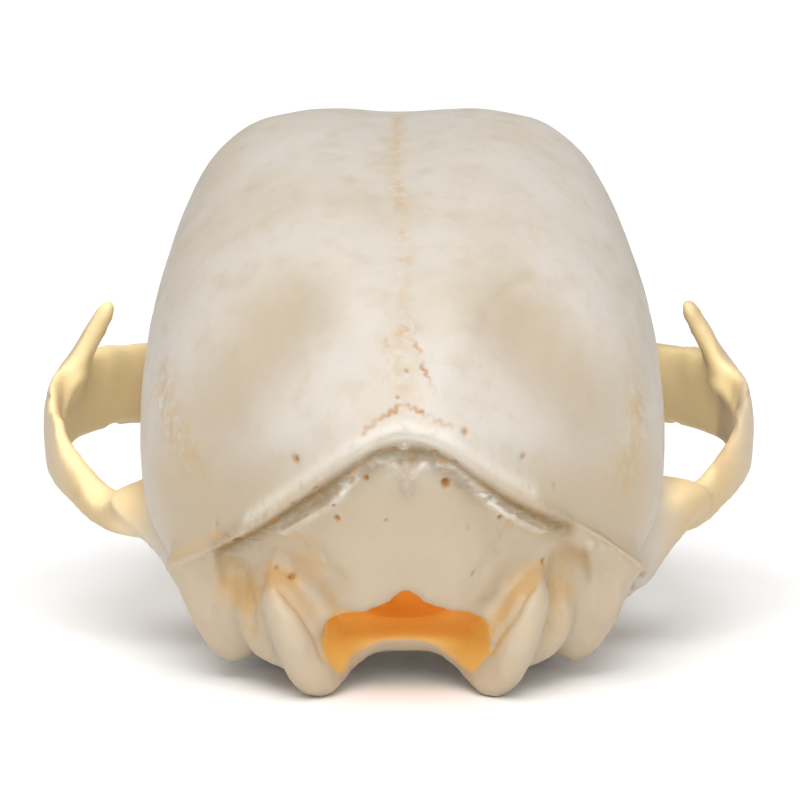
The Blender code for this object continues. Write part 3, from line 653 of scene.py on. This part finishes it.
def boneMaterial():
    # Macerated and bleached bone: ivory, matt and a little waxy, with fine pores; its hollows are yellowed
    # by painted shade and the brain cavity glows with painted orange light
    material, tree, shader = newMaterial("macerated bone")
    place = addNode(tree, "ShaderNodeTexCoord").outputs["Object"]
    axes = addNode(tree, "ShaderNodeSeparateXYZ", links={"Vector": place}).outputs

    def noise(size, detail=3.0, rough=0.55):
        node = addNode(tree, "ShaderNodeTexNoise", links={"Vector": place}, Scale=patternScale(size),
                       Detail=detail, Roughness=rough)
        return node.outputs["Fac"]

    def spread(source, low, high, out=(0, 1)):
        ends = {"From Min": low, "From Max": high, "To Min": out[0], "To Max": out[1]}
        node = addNode(tree, "ShaderNodeMapRange", {"interpolation_type": "SMOOTHSTEP"},
                       {"Value": source}, **ends)
        return node.outputs["Result"]

    def times(a, b):
        return addNode(tree, "ShaderNodeMath", {"operation": "MULTIPLY"}, {0: a, 1: b}).outputs[0]

    def mix(share, a, b):
        node = addNode(tree, "ShaderNodeMix", {"data_type": "RGBA"}, {0: share})
        for socket, value in ((6, a), (7, b)):
            if isinstance(value, str):
                node.inputs[socket].default_value = colour(value)
            else:
                tree.links.new(value, node.inputs[socket])
        return node.outputs[2]

    def mask(name):
        return addNode(tree, "ShaderNodeAttribute", {"attribute_name": name}).outputs["Fac"]

    look = boneLook
    side = addNode(tree, "ShaderNodeMath", {"operation": "ABSOLUTE"}, {0: axes["X"]}).outputs[0]
    base = mix(spread(noise(look["blotches"], 5), 0.35, 0.75), look["ivory"], look["cream"])
    # Painted shade in the hollows, then random cloudy tone
    base = mix(spread(mask("hollow"), 0, 1, (0, 0.75)), base, look["hollow"])
    base = mix(spread(noise(look["clouds"], 4), 0.45, 0.8, (0, 0.4)), base, look["hollow"])
    low = spread(axes["Z"], 0.03, 0.022)
    base = mix(times(spread(axes["Y"], look["napeFrom"], look["napeTo"]), low), base, look["sand"])
    # Cheek arches yellower, most on their inner parts: partly their own tone, partly painted light
    arch = spread(side, look["archFrom"], look["archTo"])
    base = mix(times(arch, spread(side, 0.037, 0.043, (0.9, 0.4))), base, look["yellow"])
    # Painted shade where other bone hides the sky
    base = mix(spread(mask("shelter"), 0.2, 0.7), base, look["warm"])
    # Painted light on the sheltered inner side of the cheek arches
    base = mix(times(arch, spread(mask("shelter"), 0.0, 0.15)), base, look["amber"])
    # Painted glow: the brain cavity and its passage turn orange
    base = mix(spread(mask("paintedGlow"), 0.0, 0.6), base, look["orange"])
    # Real stains, and painted shade in the nape's hollows and creases
    base = mix(times(mask("stain"), spread(noise(look["stainGrain"]), 0.3, 0.6)), base, look["stain"])
    # Grey-brown dirt with painted shade under the crest, then ochre rust where it is strongest
    base = mix(times(mask("ash"), spread(noise(look["ashGrain"]), 0.3, 0.6, (0.65, 1))), base, look["ash"])
    rust = spread(noise(look["ashRust"]), 0.54, 0.64)
    base = mix(times(spread(mask("ash"), 0.5, 1.0), rust), base, look["ochre"])
    # Whiter raised bone and a painted highlight above the crest
    powder = spread(noise(look["chalkGrain"]), 0.3, 0.5, (0.5, 1))
    base = mix(times(mask("chalk"), powder), base, look["chalk"])
    base = mix(mask("ochre"), base, look["ochre"])
    tree.links.new(base, shader.inputs["Base Color"])
    relief = addNode(tree, "ShaderNodeBump", links={"Height": noise(look["dents"], 4)}, Strength=0.6,
                     Distance=0.2 * millimetre)
    relief = addNode(tree, "ShaderNodeBump", links={"Height": noise(look["fineGrain"], 5),
                                                    "Normal": relief.outputs[0]},
                     Strength=0.35, Distance=0.06 * millimetre)
    pores = addNode(tree, "ShaderNodeTexVoronoi", links={"Vector": place},
                    Scale=patternScale(look["pores"])).outputs["Distance"]
    relief = addNode(tree, "ShaderNodeBump", links={"Height": spread(pores, 0.05, 0.2),
                                                    "Normal": relief.outputs[0]},
                     Strength=0.3, Distance=0.05 * millimetre)
    tree.links.new(relief.outputs[0], shader.inputs["Normal"])
    # Painted light: the brain cavity glows orange from within, standing for daylight through the thin vault
    shader.inputs["Emission Color"].default_value = colour(look["orange"])
    paintedGlow = times(spread(mask("paintedGlow"), 0.1, 1.0, (0, look["paintedGlow"])), spread(axes["Z"], 0.005, 0.011))
    tree.links.new(paintedGlow, shader.inputs["Emission Strength"])
    shader.inputs["Roughness"].default_value = look["roughness"]
    shader.inputs["IOR"].default_value = look["ior"]
    shader.inputs["Subsurface Weight"].default_value = 0.25
    shader.inputs["Subsurface Radius"].default_value = (1.0, 0.6, 0.3)
    shader.inputs["Subsurface Scale"].default_value = look["waxDepth"] * millimetre
    return material


# Puts a piece in metres, gives it its material and ties it to the skull
def finishPiece(made, material, nodes):
    setPoints(made, pointsOf(made) * millimetre)
    made.data.materials.clear()
    made.data.materials.append(material)
    made.data.shade_smooth()
    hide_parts(*nodes)
    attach(made, "root")


finishPiece(bone, boneMaterial(), skin["nodes"])
print("bone finished:", sum(len(p.vertices) - 2 for p in bone.data.polygons), "triangles")


# Teeth

toothLook = {
    "voxel": 0.2,           # mm
    "evening": 6,           # rounds
    "crown": "#e0d8c8",
    "neck": "#c9a86c",
    "roughness": 0.22,
    "ior": 1.62,            # enamel
    "neckShare": 0.55,      # share of the height above the tip where the neck's yellow begins
    "grooveDeep": 0.18,     # mm, along the outer side of each canine
    "grooveWidth": 0.35,
}
teethNames = sorted(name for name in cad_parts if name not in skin["nodes"])


def enamelMaterial():
    # Tooth enamel: hard, smooth and slightly see-through, yellower at the neck
    material, tree, shader = newMaterial("tooth enamel")
    neck = addNode(tree, "ShaderNodeAttribute", {"attribute_name": "neck"}).outputs["Fac"]
    tone = addNode(tree, "ShaderNodeMix", {"data_type": "RGBA"}, {0: neck})
    tone.inputs[6].default_value = colour(toothLook["crown"])
    tone.inputs[7].default_value = colour(toothLook["neck"])
    tree.links.new(tone.outputs[2], shader.inputs["Base Color"])
    shader.inputs["Roughness"].default_value = toothLook["roughness"]
    shader.inputs["IOR"].default_value = toothLook["ior"]
    shader.inputs["Subsurface Weight"].default_value = 0.15
    shader.inputs["Subsurface Scale"].default_value = 0.6 * millimetre
    return material


enamel = enamelMaterial()
for name in teethNames:
    tooth = remeshed(name.replace("_", "") + "Tooth", solidCopy([name]), toothLook["voxel"])
    places = relax(pointsOf(tooth), edgesOf(tooth), toothLook["evening"])
    setPoints(tooth, places)
    height = (places[:, 2] - places[:, 2].min()) / np.ptp(places[:, 2])
    if name.startswith("canine"):
        outwards = np.sign(places[:, 0].mean())
        ends = places[height < 0.1, 1].mean(), places[height > 0.9, 1].mean()
        offset = (places[:, 1] - np.interp(height, (0, 1), ends)) / toothLook["grooveWidth"]
        groove = np.exp(-offset ** 2) * (normalsOf(tooth)[:, 0] * outwards > 0.4)
        fade = np.clip(height * 6 - 1, 0, 1)
        setPoints(tooth, places - normalsOf(tooth) * (groove * fade * toothLook["grooveDeep"])[:, None])
    layer = tooth.data.attributes.new("neck", "FLOAT", "POINT")
    layer.data.foreach_set("value", np.clip((height - toothLook["neckShare"]) * 4, 0, 1).astype(np.float32))
    finishPiece(tooth, enamel, [name])
print("teeth finished:", len(teethNames))


# Floor and light

stage = {
    "half": 3.0,            # metres
    "floor": "#ffffff",
    "sky": "#ffffff",
    "skyStrength": 0.34,
    # Name, height and compass angle in degrees, apparent width in degrees, strength
    "panels": (("panelAbove", 68, -12, 50, 1.95), ("panelBehindCamera", 26, 4, 60, 1.45)),
}


def floorPiece():
    bm = bmesh.new()
    bmesh.ops.create_grid(bm, x_segments=1, y_segments=1, size=stage["half"])
    floor = newObject("tableTop", bm)
    # Matt white laminate: even and soft, so shadows fade out on it
    material, tree, shader = newMaterial("matt white laminate")
    shader.inputs["Base Color"].default_value = colour(stage["floor"])
    shader.inputs["Roughness"].default_value = 0.9
    shader.inputs["Specular IOR Level"].default_value = 0.0
    floor.data.materials.append(material)


# Light from a wide white panel far away
def softPanel(name, height, compass, width, strength):
    light = bpy.data.lights.new(name, "SUN")
    light.angle = math.radians(width)
    light.energy = strength
    lamp = bpy.data.objects.new(name, light)
    up, around = math.radians(height), math.radians(compass)
    way = Vector((math.sin(around) * math.cos(up), -math.cos(around) * math.cos(up), math.sin(up)))
    lamp.rotation_mode = "QUATERNION"
    lamp.rotation_quaternion = way.to_track_quat("Z", "Y")
    bpy.context.scene.collection.objects.link(lamp)


floorPiece()
for panel in stage["panels"]:
    softPanel(*panel)
world = bpy.data.worlds.new("lightTent")
world.use_nodes = True
world.node_tree.nodes["Background"].inputs["Color"].default_value = colour(stage["sky"])
world.node_tree.nodes["Background"].inputs["Strength"].default_value = stage["skyStrength"]
bpy.context.scene.world = world
bpy.context.scene.view_settings.view_transform = "Standard"
print("stage set")
